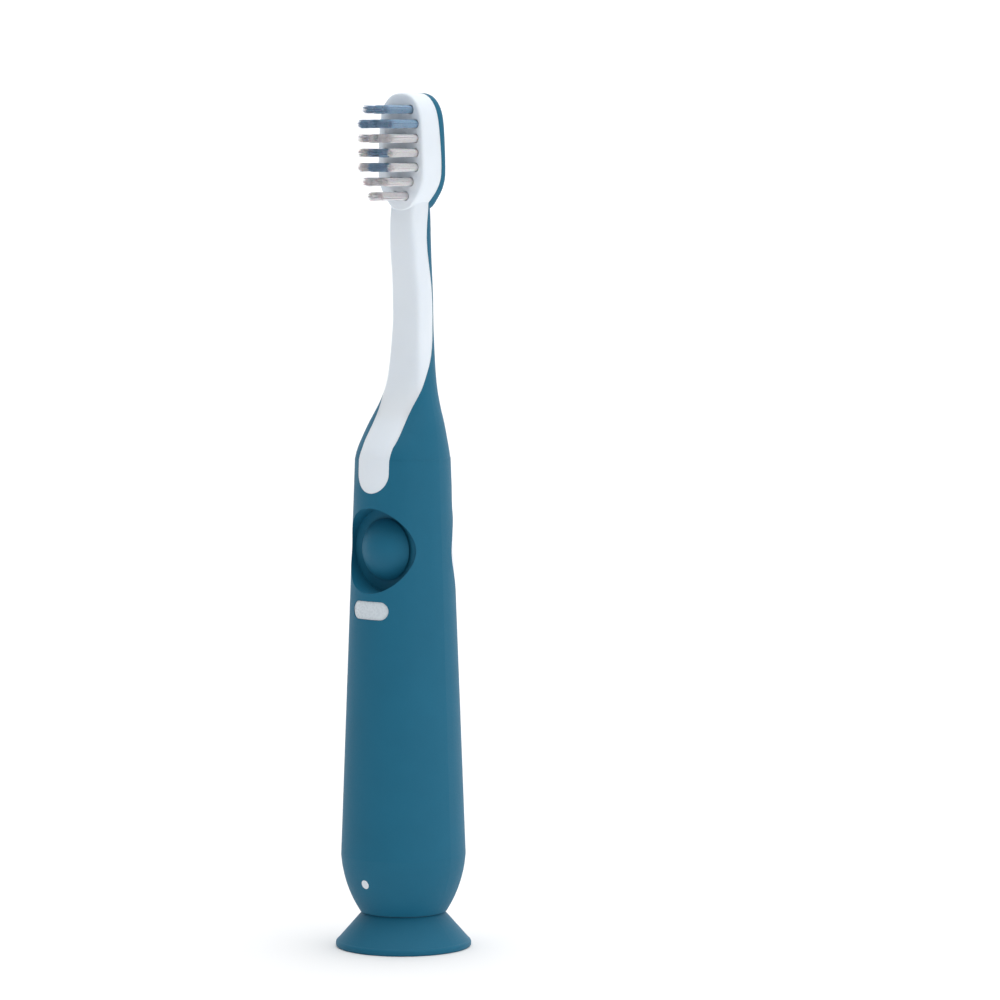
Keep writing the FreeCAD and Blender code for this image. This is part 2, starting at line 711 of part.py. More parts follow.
def tufts(places):
    """Bristle tufts as closed tapered plugs, rooted in their holes and spread a little at the tips."""
    solids = []
    root_end_y = HEAD_FRONT_Y + TUFT_ROOT_DEPTH - ANCHOR_SIZE[1]
    tip_y = HEAD_FRONT_Y - TUFT_LENGTH
    for x, z in places:
        root = cylinder_y(TUFT_ROOT_R, HEAD_FRONT_Y, root_end_y, x, z)
        spread = Part.makeCone(TUFT_TIP_R, TUFT_ROOT_R, TUFT_LENGTH, Vector(x, tip_y, z), Vector(0, 1, 0))
        solids.append(root.fuse(spread))
    return Part.makeCompound(solids)


def tuft_anchors():
    """Metal staple at the bottom of every tuft's hole."""
    solids = []
    width, depth, height = ANCHOR_SIZE
    back_y = HEAD_FRONT_Y + TUFT_ROOT_DEPTH
    front_y = back_y - depth
    for x, z in all_tuft_places():
        x0 = x - width / 2
        z0 = z - height / 2
        solids.append(block(x0, x0 + width, front_y, back_y, z0, z0 + height))
    return Part.makeCompound(solids)


# ---- Pieces that stay with the foot ----


def suction_cup():
    """Soft foot: flared skirt with a hollow underside and a socket for the cap's stud."""
    outside = [
        (STUD_R, FOOT_TOP_Z),
        (STUD_R, FOOT_TOP_Z - STUD_LENGTH),
        (0, FOOT_TOP_Z - STUD_LENGTH),
        (0, FOOT_CUP_DEPTH),
        (FOOT_R - FOOT_WALL, 0),
        (FOOT_R - FOOT_EDGE_ROUND, 0),
        (FOOT_R, FOOT_EDGE_ROUND),
        (FOOT_R, FOOT_LIP_H),
        (FOOT_R - FOOT_LIP_ROUND, FOOT_LIP_H + 1.5 * FOOT_LIP_ROUND),
        (WAIST_R - 0.1, FOOT_TOP_Z - 0.3),
        (WAIST_R - 0.4, FOOT_TOP_Z),
    ]
    arcs = {
        3: (0.55 * FOOT_R, 0.72 * FOOT_CUP_DEPTH),
        5: (FOOT_R - 0.293 * FOOT_EDGE_ROUND, 0.293 * FOOT_EDGE_ROUND),
        7: (FOOT_R - 0.25 * FOOT_LIP_ROUND, FOOT_LIP_H + 0.8 * FOOT_LIP_ROUND),
    }
    return turned(outside, arcs)


def battery_cap():
    """Cap that plugs the handle: flange, plug with a seal groove, cell pocket and a stud for the foot."""
    groove_r = CAP_PLUG_R - 2 * SEAL_R
    pocket_r = CELL_R + CELL_GAP
    lip_r = CAP_PLUG_R
    points = [
        (0, FOOT_TOP_Z - STUD_LENGTH),
        (STUD_R, FOOT_TOP_Z - STUD_LENGTH),
        (STUD_R, FOOT_TOP_Z),
        (WAIST_R - CAP_FLANGE_STEP, FOOT_TOP_Z),
        (WAIST_R - CAP_FLANGE_STEP, WAIST_Z),
        (lip_r, WAIST_Z),
        (lip_r, SEAL_Z - SEAL_R),
        (groove_r, SEAL_Z - SEAL_R),
        (groove_r, SEAL_Z + SEAL_R),
        (lip_r, SEAL_Z + SEAL_R),
        (lip_r, CAP_TOP_Z),
        (pocket_r, CAP_TOP_Z),
        (pocket_r, CAP_FLOOR_Z),
        (0, CAP_FLOOR_Z),
    ]
    return turned(points)


def cap_seal():
    """O-ring in the cap's groove."""
    return Part.makeTorus(CAP_PLUG_R - SEAL_R, SEAL_R - FIT_GAP / 2, Vector(0, 0, SEAL_Z))


def negative_spring():
    """Conical contact spring under the cell."""
    height = SPRING_H - 2 * SPRING_WIRE_R
    pitch = height / SPRING_TURNS
    path = Part.makeHelix(pitch, height, SPRING_R, SPRING_CONE_DEGREES)
    section_wire = Part.Wire(Part.makeCircle(SPRING_WIRE_R, Vector(SPRING_R, 0, 0), Vector(0, 1, 0)))
    coil = Part.Wire(path).makePipeShell([section_wire], True, True)
    coil.translate(Vector(0, 0, CAP_FLOOR_Z + SPRING_WIRE_R))
    return coil


def battery_cell():
    """Jacketed AAA cell."""
    cell = cylinder_z(CELL_R, CELL_Z, CELL_Z + CELL_LENGTH)
    rims = [e for e in cell.Edges if isinstance(e.Curve, Part.Circle)]
    return cell.makeFillet(CELL_EDGE_ROUND, rims)


def battery_terminal():
    """Positive nub of the cell."""
    return cylinder_z(CELL_NUB_R, CELL_Z + CELL_LENGTH, CELL_TOP_Z)


# ---- Build ----


def rows_except(*groups):
    """Rows that are in none of the groups."""
    taken = set()
    for group in groups:
        taken.update(group)
    return [row for row in range(len(TUFT_COLUMNS)) if row not in taken]


def build():
    """Every piece, by node name."""
    outer = outer_shape()
    zone = pale_zone()
    tools = openings()
    dome, insert = button_shapes()
    plain_rows = rows_except(BLUE_FRONT_ROWS, BLUE_INNER_ROWS)
    pale_places = tuft_places(plain_rows) + tuft_places(BLUE_INNER_ROWS, False)
    return {
        "body_core": body_core(outer, zone, tools),
        "overmould_skin": overmould_skin(outer, zone, tools),
        "finger_liner": finger_liner(),
        "recess_pad": recess_pad(),
        "light_window": light_window(),
        "power_button": dome,
        "button_plunger": insert,
        "switch_plunger": switch_plunger(),
        "tact_switch": tact_switch(),
        "circuit_board": circuit_board(),
        "controller_chip": on_board(CHIP_SIZE, 0, LIGHT_Z - CHIP_BELOW_LIGHT),
        "board_capacitor": on_board(CAPACITOR_SIZE, CAPACITOR_X, LIGHT_Z - CAPACITOR_BELOW_LIGHT),
        "indicator_led": on_board(LED_SIZE, 0, LIGHT_Z),
        "chassis_tube": chassis_tube(),
        "positive_contact": positive_contact(),
        "negative_strip": negative_strip(),
        "motor_can": motor_can(),
        "motor_end_cap": motor_end_cap(),
        "motor_lead_positive": motor_lead(1),
        "motor_lead_negative": motor_lead(-1),
        "motor_shaft": motor_shaft(),
        "eccentric_weight": eccentric_weight(),
        "tufts_blue_front": tufts(tuft_places(BLUE_FRONT_ROWS)),
        "tufts_blue_inner": tufts(tuft_places(BLUE_INNER_ROWS, True)),
        "tufts_pale": tufts(pale_places),
        "tuft_anchors": tuft_anchors(),
        "suction_cup": suction_cup(),
        "battery_cap": battery_cap(),
        "cap_seal": cap_seal(),
        "negative_spring": negative_spring(),
        "battery_cell": battery_cell(),
        "battery_terminal": battery_terminal(),
    }


os.makedirs("parts", exist_ok=True)
for name, shape in build().items():
    shape.exportStep(os.path.join("parts", name + ".step"))
    box = shape.BoundBox
    print(f"{name}: {len(shape.Solids)} solids, valid {shape.isValid()}, volume {shape.Volume:.1f}")
    print(f"  x {box.XMin:.2f} {box.XMax:.2f}, y {box.YMin:.2f} {box.YMax:.2f}, z {box.ZMin:.2f} {box.ZMax:.2f}")
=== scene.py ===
"""Looks of a child's vibrating toothbrush on its suction foot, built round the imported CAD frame."""

import json
import logging
import math
from dataclasses import dataclass, field
from enum import Enum

import bpy
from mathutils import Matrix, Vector


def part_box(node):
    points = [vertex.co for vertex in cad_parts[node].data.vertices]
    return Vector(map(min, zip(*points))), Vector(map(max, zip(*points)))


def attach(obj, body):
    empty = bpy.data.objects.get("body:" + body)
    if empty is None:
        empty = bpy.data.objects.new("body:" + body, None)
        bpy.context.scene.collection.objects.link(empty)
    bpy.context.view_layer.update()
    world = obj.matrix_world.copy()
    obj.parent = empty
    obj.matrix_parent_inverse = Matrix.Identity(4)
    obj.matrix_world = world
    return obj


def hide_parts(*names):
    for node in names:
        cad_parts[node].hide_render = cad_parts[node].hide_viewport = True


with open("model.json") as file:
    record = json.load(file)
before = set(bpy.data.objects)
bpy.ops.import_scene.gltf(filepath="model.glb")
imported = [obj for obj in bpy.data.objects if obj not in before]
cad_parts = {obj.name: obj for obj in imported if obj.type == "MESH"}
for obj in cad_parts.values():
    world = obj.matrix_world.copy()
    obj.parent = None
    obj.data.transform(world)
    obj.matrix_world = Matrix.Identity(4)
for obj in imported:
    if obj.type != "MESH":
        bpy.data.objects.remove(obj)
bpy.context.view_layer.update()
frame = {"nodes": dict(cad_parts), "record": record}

LOG = logging.getLogger("toothbrush")
MM = 0.001
# Decimals of a metre at which two corners of a mesh count as one, and two tufts as one row.
CORNER_DIGITS = 6
ROW_DIGITS = 5

Colour = tuple[float, float, float, float]


class Piece(Enum):
    """Material slots of the record that the made pieces take their finish from."""

    PALE_BRISTLE = "nylon_pale"
    BLUE_BRISTLE = "nylon_blue"


def linear(hex_colour: str) -> Colour:
    """Turn an sRGB hex colour into linear light.

    Args:
        hex_colour: six hex digits, such as "1F6080".

    Returns:
        Linear red, green, blue and an alpha of 1.
    """
    parts = [int(hex_colour[i : i + 2], 16) / 255 for i in (0, 2, 4)]
    light = [c / 12.92 if c <= 0.04045 else ((c + 0.055) / 1.055) ** 2.4 for c in parts]
    return (light[0], light[1], light[2], 1.0)


def add_node(
    tree: bpy.types.NodeTree,
    kind: str,
    settings: dict | None = None,
    inputs: dict | None = None,
) -> bpy.types.Node:
    """Add one node with its settings and inputs.

    Args:
        tree: the node tree to add to.
        kind: the node's bl_idname.
        settings: attribute values of the node.
        inputs: for each input's name or number, a value or the output socket that feeds it.

    Returns:
        The new node.
    """
    node = tree.nodes.new(kind)
    for name, value in (settings or {}).items():
        setattr(node, name, value)
    for key, value in (inputs or {}).items():
        socket = node.inputs[key]
        if isinstance(value, bpy.types.NodeSocket):
            tree.links.new(value, socket)
        else:
            socket.default_value = value
    return node


# ---- Finishes ----


@dataclass(frozen=True)
class Finish:
    """A surface: its colours, how glossy it is, and the grain that its making left.

    Grain and mottle sizes are in millimetres; depth is the grain's height in millimetres.
    """

    name: str
    light: str
    dark: str
    roughness: float
    grain: float
    depth: float
    mottle: float = 9.0
    metallic: float = 0.0
    ior: float = 1.5
    rough_spread: float = 0.06
    stretch: tuple[float, float, float] = (1.0, 1.0, 1.0)
    sockets: dict[str, object] = field(default_factory=dict)

    def material(self) -> bpy.types.Material:
        """Build the material: mottled colour, uneven gloss and a fine bump.

        Returns:
            The finished material.
        """
        made = bpy.data.materials.new(self.name)
        made.use_nodes = True
        tree = made.node_tree
        tree.nodes.clear()
        place = add_node(tree, "ShaderNodeTexCoord")
        spread = add_node(
            tree, "ShaderNodeMapping", inputs={"Vector": place.outputs["Object"], "Scale": self.stretch}
        )
        at = spread.outputs["Vector"]
        blotch = add_node(
            tree,
            "ShaderNodeTexNoise",
            inputs={"Vector": at, "Scale": 1 / (self.mottle * MM), "Detail": 3.0},
        )
        colour = add_node(tree, "ShaderNodeMix", {"data_type": "RGBA"}, {"Factor": blotch.outputs["Fac"]})
        colour.inputs[6].default_value = linear(self.dark)
        colour.inputs[7].default_value = linear(self.light)
        grain = add_node(
            tree, "ShaderNodeTexNoise", inputs={"Vector": at, "Scale": 1 / (self.grain * MM), "Detail": 2.0}
        )
        gloss = add_node(
            tree,
            "ShaderNodeMapRange",
            inputs={
                "Value": grain.outputs["Fac"],
                "From Min": 0.3,
                "From Max": 0.7,
                "To Min": self.roughness - self.rough_spread,
                "To Max": self.roughness + self.rough_spread,
            },
        )
        bump = add_node(
            tree,
            "ShaderNodeBump",
            inputs={"Height": grain.outputs["Fac"], "Distance": self.depth * MM, "Strength": 1.0},
        )
        shader = add_node(
            tree,
            "ShaderNodeBsdfPrincipled",
            inputs={
                "Base Color": colour.outputs[2],
                "Roughness": gloss.outputs["Result"],
                "Normal": bump.outputs["Normal"],
                "Metallic": self.metallic,
                "IOR": self.ior,
                **self.sockets,
            },
        )
        add_node(tree, "ShaderNodeOutputMaterial", inputs={"Surface": shader.outputs["BSDF"]})
        return made


# Soft-touch thermoplastic elastomer, moulded against a spark-eroded tool: an even matt bloom with a
# faint velvet edge. The real grain is about 0.05 mm; it is drawn at 0.25 mm so that it shows.
SOFT_BLUE = Finish(
    "soft_touch_elastomer",
    "176683",
    "135F7B",
    0.58,
    0.25,
    0.004,
    sockets={
        "Specular IOR Level": 0.22,
        "Sheen Weight": 0.04,
        "Sheen Roughness": 0.45,
        "Sheen Tint": linear("9CC6DA"),
    },
)
# Natural polypropylene with a little blue, satin from a polished tool: milky, so light spreads in it.
PALE_BODY = Finish(
    "satin_polypropylene",
    "E7EEF5",
    "E0E8F0",
    0.36,
    0.4,
    0.003,
    sockets={"Subsurface Weight": 0.25, "Subsurface Radius": (0.8, 0.9, 1.0), "Subsurface Scale": 0.0012},
)
# Filled polypropylene of the cap in the handle's blue, a little glossier than the skin.
BLUE_PLASTIC = Finish("moulded_cap_plastic", "165F7C", "135872", 0.42, 0.5, 0.003)
# Frosted polycarbonate lens of the timer light, polished outside and etched inside.
FROSTED_LENS = Finish(
    "frosted_polycarbonate",
    "D3DCE2",
    "C6D0D8",
    0.28,
    0.5,
    0.001,
    ior=1.58,
    sockets={"Subsurface Weight": 0.3, "Subsurface Radius": (1.0, 1.0, 1.0), "Subsurface Scale": 0.0015},
)
# Grey ABS of the inner chassis, as it comes from the tool.
GREY_PLASTIC = Finish("inner_abs", "96989B", "8B8D90", 0.45, 0.6, 0.004)
# Black nylon and moulded epoxy of the switch and chip.
BLACK_PLASTIC = Finish("black_epoxy", "242527", "1B1C1E", 0.5, 0.15, 0.004)
# Green solder mask over the laminate's weave, 0.5 mm a thread.
SOLDER_MASK = Finish("solder_mask", "1E6B3C", "175A31", 0.3, 0.5, 0.01)
# Fired ceramic of the capacitor.
CERAMIC = Finish("fired_ceramic", "B08B62", "A27F58", 0.6, 0.2, 0.004)
# Clear epoxy dome of the lamp.
LAMP_EPOXY = Finish(
    "lamp_epoxy", "F2EFDD", "E8E4CF", 0.15, 0.8, 0.001, sockets={"Transmission Weight": 0.4}
)
# Nickel plating on pressed spring strip: bright with fine draw lines along it.
NICKEL = Finish(
    "nickel_plate", "CFC8BA", "B9B2A4", 0.26, 0.3, 0.004, metallic=1.0, stretch=(1.0, 1.0, 0.15)
)
# Drawn steel of the motor's can and shaft, with lines along the draw.
MOTOR_STEEL = Finish(
    "drawn_steel", "B9BABC", "A3A4A7", 0.3, 0.25, 0.004, metallic=1.0, stretch=(1.0, 1.0, 0.1)
)
# Sintered tungsten alloy: dark, slightly porous metal.
TUNGSTEN = Finish("sintered_tungsten", "6E6B69", "5A5856", 0.45, 0.12, 0.01, metallic=1.0)
# PVC insulation of the two motor leads.
LEAD_RED = Finish("red_lead_pvc", "B3261E", "9E1F19", 0.4, 0.3, 0.003)
LEAD_BLACK = Finish("black_lead_pvc", "26272A", "1D1E20", 0.4, 0.3, 0.003)
# Nitrile rubber O-ring with a film of silicone grease.
NITRILE = Finish("nitrile_rubber", "1E1F20", "151617", 0.33, 0.2, 0.003)
# Shrunk polyester jacket of the cell, plain.
CELL_JACKET = Finish("cell_jacket_film", "5A6671", "515D68", 0.24, 1.5, 0.004)
# Extruded nylon bristles: translucent rods, slightly mottled from one to the next.
NYLON_PALE = Finish(
    "natural_nylon",
    "EFEDEE",
    "D2D1D5",
    0.32,
    0.5,
    0.002,
    mottle=0.35,
    ior=1.53,
    sockets={"Subsurface Weight": 0.2, "Subsurface Scale": 0.0004},
)
NYLON_BLUE = Finish(
    "dyed_nylon",
    "9DBAD2",
    "7396B4",
    0.32,
    0.5,
    0.002,
    mottle=0.35,
    ior=1.53,
    sockets={"Subsurface Weight": 0.2, "Subsurface Scale": 0.0004},
)

SLOT_FINISHES = {
    "pale_body": PALE_BODY,
    "soft_blue": SOFT_BLUE,
    "blue_plastic": BLUE_PLASTIC,
    "frosted_lens": FROSTED_LENS,
    "grey_plastic": GREY_PLASTIC,
    "black_plastic": BLACK_PLASTIC,
    "board_green": SOLDER_MASK,
    "ceramic_tan": CERAMIC,
    "lamp_clear": LAMP_EPOXY,
    "nickel": NICKEL,
    "motor_steel": MOTOR_STEEL,
    "weight_tungsten": TUNGSTEN,
    "lead_red": LEAD_RED,
    "lead_black": LEAD_BLACK,
    "seal_rubber": NITRILE,
    "cell_jacket": CELL_JACKET,
    "nylon_pale": NYLON_PALE,
    "nylon_blue": NYLON_BLUE,
}


@dataclass
class Wardrobe:
    """The materials, made once each, and the dressing of the CAD nodes."""

    made: dict[str, bpy.types.Material] = field(default_factory=dict)

    def material(self, slot: str) -> bpy.types.Material:
        """Return the material of a slot, making it on first use.

        Args:
            slot: a material slot of the record.

        Returns:
            The slot's material.
        """
        if slot not in self.made:
            self.made[slot] = SLOT_FINISHES[slot].material()
        return self.made[slot]

    def dress(self, piece: bpy.types.Object, slot: str) -> None:
        """Give a piece its slot's material and nothing else.

        Args:
            piece: the object to dress.
            slot: a material slot of the record.
        """
        piece.data.materials.clear()
        piece.data.materials.append(self.material(slot))

    def dress_cad_nodes(self) -> None:
        """Dress every CAD node with the finish of its own slot."""
        for row in frame["record"]["subparts"]:
            self.dress(frame["nodes"][row["node"]], row["material_slot"])
            LOG.info("dressed %s as %s", row["node"], row["material_slot"])


# ---- Bristles ----

FLOAT_INPUTS = ("Root Radius", "Pitch", "Bristle Radius", "Length", "Splay", "Wander", "Length Spread")


@dataclass
class BristleField:
    """Tufts of nylon bristles, laid out from the tufts' CAD solids.

    Each bristle narrows from tip_start of its length to tip_width of its width, as a ground end does.
    """

    bristle_radius: float = 0.1 * MM
    bristle_pitch: float = 0.23 * MM
    root_radius: float = 0.8 * MM
    splay: float = 0.2
    wander: float = 0.005
    length_spread: float = 0.012
    tip_start: float = 0.9
    tip_width: float = 0.45
    sides: int = 8
    seed: int = 7

    def tuft_roots(self, node: str) -> list[Vector]:
        """Find the bottom of each tuft of a CAD node, in its hole.

        Args:
            node: the CAD node that holds the tufts as separate solids.

        Returns:
            The centre of each tuft's inner end.
        """
        mesh = frame["nodes"][node].data
        neighbours: dict[tuple, set] = {}
        points = [tuple(round(c, CORNER_DIGITS) for c in v.co) for v in mesh.vertices]
        for edge in mesh.edges:
            a, b = (points[i] for i in edge.vertices)
            neighbours.setdefault(a, set()).add(b)
            neighbours.setdefault(b, set()).add(a)
        root_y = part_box(node)[1].y
        roots: list[Vector] = []
        left = set(neighbours)
        while left:
            island, edge_points = set(), [left.pop()]
            while edge_points:
                point = edge_points.pop()
                island.add(point)
                fresh = neighbours[point] & left
                left -= fresh
                edge_points.extend(fresh)
            xs, _, zs = zip(*island)
            roots.append(Vector(((min(xs) + max(xs)) / 2, root_y, (min(zs) + max(zs)) / 2)))
        return sorted(roots, key=lambda r: (-round(r.z, ROW_DIGITS), r.x))

    def tree(self) -> bpy.types.NodeTree:
        """Build the geometry tree that turns tuft centres into bristles.

        Returns:
            The node group.
        """
        group = bpy.data.node_groups.new("bristle_tufts", "GeometryNodeTree")
        face = group.interface
        face.new_socket("Geometry", in_out="INPUT", socket_type="NodeSocketGeometry")
        for name in FLOAT_INPUTS:
            face.new_socket(name, in_out="INPUT", socket_type="NodeSocketFloat")
        face.new_socket("Seed", in_out="INPUT", socket_type="NodeSocketInt")
        face.new_socket("Sides", in_out="INPUT", socket_type="NodeSocketInt")
        face.new_socket("Material", in_out="INPUT", socket_type="NodeSocketMaterial")
        face.new_socket("Geometry", in_out="OUTPUT", socket_type="NodeSocketGeometry")
        given = add_node(group, "NodeGroupInput").outputs

        # Roots of one tuft: a square grid trimmed to a disc.
        across = add_node(
            group, "ShaderNodeMath", {"operation": "MULTIPLY"}, {0: given["Root Radius"], 1: 2.0}
        )
        count = add_node(
            group, "ShaderNodeMath", {"operation": "DIVIDE"}, {0: across.outputs[0], 1: given["Pitch"]}
        )
        whole = add_node(group, "ShaderNodeMath", {"operation": "CEIL"}, {0: count.outputs[0]})
        more = add_node(group, "ShaderNodeMath", {"operation": "ADD"}, {0: whole.outputs[0], 1: 1.0})
        grid = add_node(
            group,
            "GeometryNodeMeshGrid",
            inputs={
                "Size X": across.outputs[0],
                "Size Y": across.outputs[0],
                "Vertices X": more.outputs[0],
                "Vertices Y": more.outputs[0],
            },
        )
        spot = add_node(group, "GeometryNodeInputPosition")
        reach = add_node(group, "ShaderNodeVectorMath", {"operation": "LENGTH"}, {0: spot.outputs[0]})
        outside = add_node(
            group,
            "FunctionNodeCompare",
            {"data_type": "FLOAT", "operation": "GREATER_THAN"},
            {"A": reach.outputs["Value"], "B": given["Root Radius"]},
        )
        dots = add_node(group, "GeometryNodeMeshToPoints", inputs={"Mesh": grid.outputs["Mesh"]})
        disc = add_node(
            group,
            "GeometryNodeDeleteGeometry",
            {"domain": "POINT"},
            {"Geometry": dots.outputs[0], "Selection": outside.outputs[0]},
        )

        # The disc is set on every tuft centre, facing forwards and turned at random.
        spin = add_node(
            group,
            "FunctionNodeRandomValue",
            {"data_type": "FLOAT"},
            {"Min": 0.0, "Max": math.tau, "Seed": given["Seed"]},
        )
        facing = add_node(
            group, "ShaderNodeCombineXYZ", inputs={"X": math.pi / 2, "Y": spin.outputs[1], "Z": 0.0}
        )
        centre = add_node(group, "GeometryNodeInputPosition")
        marked = add_node(
            group,
            "GeometryNodeStoreNamedAttribute",
            {"data_type": "FLOAT_VECTOR", "domain": "POINT"},
            {"Geometry": given["Geometry"], "Name": "tuft_centre", "Value": centre.outputs[0]},
        )
        placed = add_node(
            group,
            "GeometryNodeInstanceOnPoints",
            inputs={
                "Points": marked.outputs[0],
                "Instance": disc.outputs[0],
                "Rotation": facing.outputs[0],
            },
        )
        roots = add_node(group, "GeometryNodeRealizeInstances", inputs={"Geometry": placed.outputs[0]})

        # Each bristle leans outwards with its distance from the tuft's centre, and wanders a little.
        here = add_node(group, "GeometryNodeInputPosition")
        middle = add_node(
            group, "GeometryNodeInputNamedAttribute", {"data_type": "FLOAT_VECTOR"}, {"Name": "tuft_centre"}
        )
        offset = add_node(
            group,
            "ShaderNodeVectorMath",
            {"operation": "SUBTRACT"},
            {0: here.outputs[0], 1: middle.outputs[0]},
        )
        share = add_node(
            group, "ShaderNodeMath", {"operation": "DIVIDE"}, {0: given["Splay"], 1: given["Length"]}
        )
        lean = add_node(
            group,
            "ShaderNodeVectorMath",
            {"operation": "SCALE"},
            {0: offset.outputs[0], "Scale": share.outputs[0]},
        )
        ahead = add_node(
            group, "ShaderNodeVectorMath", {"operation": "ADD"}, {0: lean.outputs[0], 1: (0.0, -1.0, 0.0)}
        )
        chance = add_node(
            group,
            "FunctionNodeRandomValue",
            {"data_type": "FLOAT_VECTOR"},
            {"Min": (-1.0, 0.0, -1.0), "Max": (1.0, 0.0, 1.0), "Seed": given["Seed"]},
        )
        stray = add_node(
            group,
            "ShaderNodeVectorMath",
            {"operation": "SCALE"},
            {0: chance.outputs[0], "Scale": given["Wander"]},
        )
        heading = add_node(
            group, "ShaderNodeVectorMath", {"operation": "ADD"}, {0: ahead.outputs[0], 1: stray.outputs[0]}
        )
        aim = add_node(
            group, "FunctionNodeAlignRotationToVector", {"axis": "Z"}, {"Vector": heading.outputs[0]}
        )

        # One bristle: a thin rod with a rounded tip.
        top = add_node(group, "ShaderNodeCombineXYZ", inputs={"Z": given["Length"]})
        line = add_node(group, "GeometryNodeCurvePrimitiveLine", inputs={"End": top.outputs[0]})
        steps = add_node(group, "GeometryNodeResampleCurve", inputs={"Curve": line.outputs[0], "Count": 10})
        along = add_node(group, "GeometryNodeSplineParameter")
        thin = add_node(
            group,
            "ShaderNodeMapRange",
            {"interpolation_type": "SMOOTHSTEP"},
            {
                "Value": along.outputs["Factor"],
                "From Min": self.tip_start,
                "From Max": 1.0,
                "To Min": 1.0,
                "To Max": self.tip_width,
            },
        )
        width = add_node(
            group,
            "ShaderNodeMath",
            {"operation": "MULTIPLY"},
            {0: thin.outputs["Result"], 1: given["Bristle Radius"]},
        )
        ring = add_node(
            group, "GeometryNodeCurvePrimitiveCircle", inputs={"Resolution": given["Sides"], "Radius": 1.0}
        )
        rod = add_node(
            group,
            "GeometryNodeCurveToMesh",
            inputs={
                "Curve": steps.outputs[0],
                "Profile Curve": ring.outputs[0],
                "Scale": width.outputs[0],
                "Fill Caps": True,
            },
        )
        shortest = add_node(
            group, "ShaderNodeMath", {"operation": "SUBTRACT"}, {0: 1.0, 1: given["Length Spread"]}
        )
        trim = add_node(
            group,
            "FunctionNodeRandomValue",
            {"data_type": "FLOAT"},
            {"Min": shortest.outputs[0], "Max": 1.0, "Seed": given["Seed"]},
        )
        stretch = add_node(group, "ShaderNodeCombineXYZ", inputs={"X": 1.0, "Y": 1.0, "Z": trim.outputs[1]})
        grown = add_node(
            group,
            "GeometryNodeInstanceOnPoints",
            inputs={
                "Points": roots.outputs[0],
                "Instance": rod.outputs[0],
                "Rotation": aim.outputs[0],
                "Scale": stretch.outputs[0],
            },
        )
        solid = add_node(group, "GeometryNodeRealizeInstances", inputs={"Geometry": grown.outputs[0]})
        soft = add_node(group, "GeometryNodeSetShadeSmooth", inputs={"Geometry": solid.outputs[0]})
        dressed = add_node(
            group,
            "GeometryNodeSetMaterial",
            inputs={"Geometry": soft.outputs[0], "Material": given["Material"]},
        )
        add_node(group, "NodeGroupOutput", inputs={"Geometry": dressed.outputs[0]})
        return group

    def grow(
        self,
        name: str,
        node: str,
        group: bpy.types.NodeTree,
        material: bpy.types.Material,
    ) -> bpy.types.Object:
        """Grow the bristles of one CAD node's tufts as a plain mesh.

        Args:
            name: the new piece's name.
            node: the CAD node of tufts that it stands for.
            group: the tree from tree().
            material: the bristles' material.

        Returns:
            The finished piece, with no modifier left on it.
        """
        roots = self.tuft_roots(node)
        tip_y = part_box(node)[0].y
        length = roots[0].y - tip_y
        mesh = bpy.data.meshes.new(name + "_roots")
        mesh.from_pydata([tuple(r) for r in roots], [], [])
        seedbed = bpy.data.objects.new(name + "_roots", mesh)
        bpy.context.scene.collection.objects.link(seedbed)
        modifier = seedbed.modifiers.new("tufts", "NODES")
        modifier.node_group = group
        values = {
            "Root Radius": self.root_radius,
            "Pitch": self.bristle_pitch,
            "Bristle Radius": self.bristle_radius,
            "Length": length,
            "Splay": self.splay,
            "Wander": self.wander,
            "Length Spread": self.length_spread,
            "Seed": self.seed,
            "Sides": self.sides,
            "Material": material,
        }
        for item in group.interface.items_tree:
            if item.in_out == "INPUT" and item.name in values:
                modifier[item.identifier] = values[item.name]
        graph = bpy.context.evaluated_depsgraph_get()
        made = bpy.data.meshes.new_from_object(seedbed.evaluated_get(graph))
        bpy.data.objects.remove(seedbed)
        made.name = name
        if not made.materials:
            made.materials.append(material)
        piece = bpy.data.objects.new(name, made)
        bpy.context.scene.collection.objects.link(piece)
        return piece


@dataclass
class BrushHead:
    """The head's bristles, in the colours of their rows."""

    wardrobe: Wardrobe
    bristles: BristleField = field(default_factory=BristleField)
    groups: tuple[tuple[str, str, Piece], ...] = (
        ("bristles_blue_front", "tufts_blue_front", Piece.BLUE_BRISTLE),
        ("bristles_blue_inner", "tufts_blue_inner", Piece.BLUE_BRISTLE),
        ("bristles_pale", "tufts_pale", Piece.PALE_BRISTLE),
    )

    def build(self) -> None:
        """Grow each colour group and let it stand for its CAD tufts."""
        tree = self.bristles.tree()
        for name, node, slot in self.groups:
            piece = self.bristles.grow(name, node, tree, self.wardrobe.material(slot.value))
            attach(piece, "brush")
            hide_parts(node)
            LOG.info("grew %s with %d faces", name, len(piece.data.polygons))


# ---- Studio ----


@dataclass(frozen=True)
class Glow:
    """A bright part of the sky: where it is, how far from its heart it fades out, and how much it adds."""

    towards: tuple[float, float, float]
    edge: float
    heart: float
    strength: float


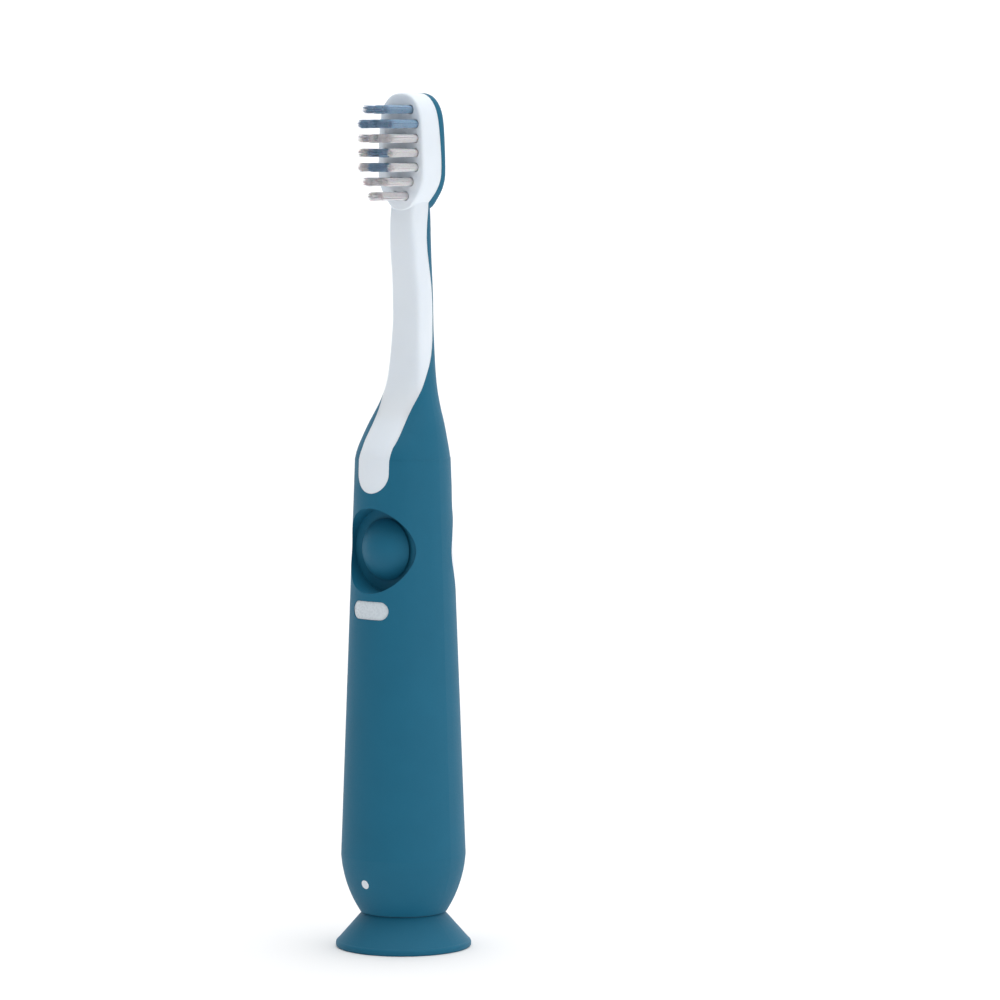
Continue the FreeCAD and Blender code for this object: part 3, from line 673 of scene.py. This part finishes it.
@dataclass
class Studio:
    """Camera, floor and soft light round the object.

    Places are in metres and angles in degrees; the lens and the sensor are in millimetres.
    """

    camera_azimuth: float = 41.0
    camera_distance: float = 0.96
    camera_height: float = 0.167
    camera_tilt: float = 4.56
    camera_yaw: float = 1.166
    camera_lens: float = 172.4
    camera_sensor: float = 36.0
    camera_near: float = 0.05
    camera_far: float = 50.0
    floor_half: float = 6.0
    sky_colour: Colour = (0.985, 0.99, 1.0, 1.0)
    sky_base: float = 0.4
    glows: tuple[Glow, ...] = (
        Glow((-0.656, 0.755, 0.0), 0.3, 0.9, 0.75),
        Glow((0.755, 0.656, 0.1), -0.2, 1.0, 0.5),
    )
    ceiling_light: float = 1.7
    ceiling_spread: float = 60.0
    ceiling_height: float = 1.5
    lamp_target: tuple[float, float, float] = (0.0, 0.0, 0.09)

    def camera(self) -> None:
        """Set up the camera: as high as the head, in front and to the right, and tilted down."""
        a = math.radians(self.camera_azimuth)
        data = bpy.data.cameras.new("camera")
        data.lens = self.camera_lens
        data.sensor_width = self.camera_sensor
        data.clip_start = self.camera_near
        data.clip_end = self.camera_far
        camera = bpy.data.objects.new("camera", data)
        camera.location = (
            math.sin(a) * self.camera_distance,
            -math.cos(a) * self.camera_distance,
            self.camera_height,
        )
        camera.rotation_euler = (
            math.radians(90 - self.camera_tilt),
            0.0,
            a - math.radians(self.camera_yaw),
        )
        bpy.context.scene.collection.objects.link(camera)
        bpy.context.scene.camera = camera

    def floor(self) -> None:
        """Lay a plain pale floor under the foot."""
        h = self.floor_half
        mesh = bpy.data.meshes.new("floor")
        mesh.from_pydata([(-h, -h, 0), (h, -h, 0), (h, h, 0), (-h, h, 0)], [], [(0, 1, 2, 3)])
        floor = bpy.data.objects.new("floor", mesh)
        bpy.context.scene.collection.objects.link(floor)
        paint = bpy.data.materials.new("studio_floor")
        paint.use_nodes = True
        shader = paint.node_tree.nodes["Principled BSDF"]
        shader.inputs["Base Color"].default_value = linear("F6F6F6")
        shader.inputs["Roughness"].default_value = 0.9
        shader.inputs["Specular IOR Level"].default_value = 0.1
        mesh.materials.append(paint)

    def world(self) -> None:
        """Surround the set with a pale sky, brighter behind the object and to the right of it."""
        world = bpy.data.worlds.new("studio_sky")
        world.use_nodes = True
        tree = world.node_tree
        tree.nodes.clear()
        way = add_node(tree, "ShaderNodeTexCoord")
        level = None
        for glow in self.glows:
            along = add_node(
                tree,
                "ShaderNodeVectorMath",
                {"operation": "DOT_PRODUCT"},
                {0: way.outputs["Generated"], 1: Vector(glow.towards).normalized()},
            )
            lift = add_node(
                tree,
                "ShaderNodeMapRange",
                {"interpolation_type": "SMOOTHSTEP"},
                {
                    "Value": along.outputs["Value"],
                    "From Min": glow.edge,
                    "From Max": glow.heart,
                    "To Min": 0.0,
                    "To Max": glow.strength,
                },
            )
            so_far = self.sky_base if level is None else level.outputs[0]
            level = add_node(
                tree, "ShaderNodeMath", {"operation": "ADD"}, {0: lift.outputs["Result"], 1: so_far}
            )
        sky = add_node(
            tree,
            "ShaderNodeBackground",
            inputs={"Color": self.sky_colour, "Strength": level.outputs[0]},
        )
        add_node(tree, "ShaderNodeOutputWorld", inputs={"Surface": sky.outputs[0]})
        bpy.context.scene.world = world

    def sun(self) -> None:
        """Hang a very soft light straight above: it whitens the floor and leaves a shadow at the foot."""
        data = bpy.data.lights.new("ceiling", "SUN")
        data.energy = self.ceiling_light
        data.angle = math.radians(self.ceiling_spread)
        light = bpy.data.objects.new("ceiling", data)
        light.location = (0.0, 0.0, self.ceiling_height)
        bpy.context.scene.collection.objects.link(light)

    def lamp(self, name: str, at: tuple[float, float, float], size: float, watts: float) -> None:
        """Hang a square soft box that faces the middle of the brush.

        Args:
            name: the light's name.
            at: its place in metres.
            size: the length of its side in metres.
            watts: its power.
        """
        data = bpy.data.lights.new(name, "AREA")
        data.shape = "SQUARE"
        data.size = size
        data.energy = watts
        light = bpy.data.objects.new(name, data)
        light.location = at
        aim = Vector(self.lamp_target) - Vector(at)
        light.rotation_euler = aim.to_track_quat("-Z", "Y").to_euler()
        bpy.context.scene.collection.objects.link(light)

    def build(self) -> None:
        """Set up everything round the object."""
        self.camera()
        self.floor()
        self.world()
        self.sun()
        self.lamp("right_box", (1.0, -0.25, 0.4), 0.7, 1.0)
        bpy.context.scene.view_settings.view_transform = "Standard"


def main() -> None:
    """Build the looks in order and report each piece."""
    logging.basicConfig(level=logging.INFO, format="%(name)s: %(message)s")
    wardrobe = Wardrobe()
    wardrobe.dress_cad_nodes()
    BrushHead(wardrobe).build()
    Studio().build()


if __name__ == "__main__":
    main()
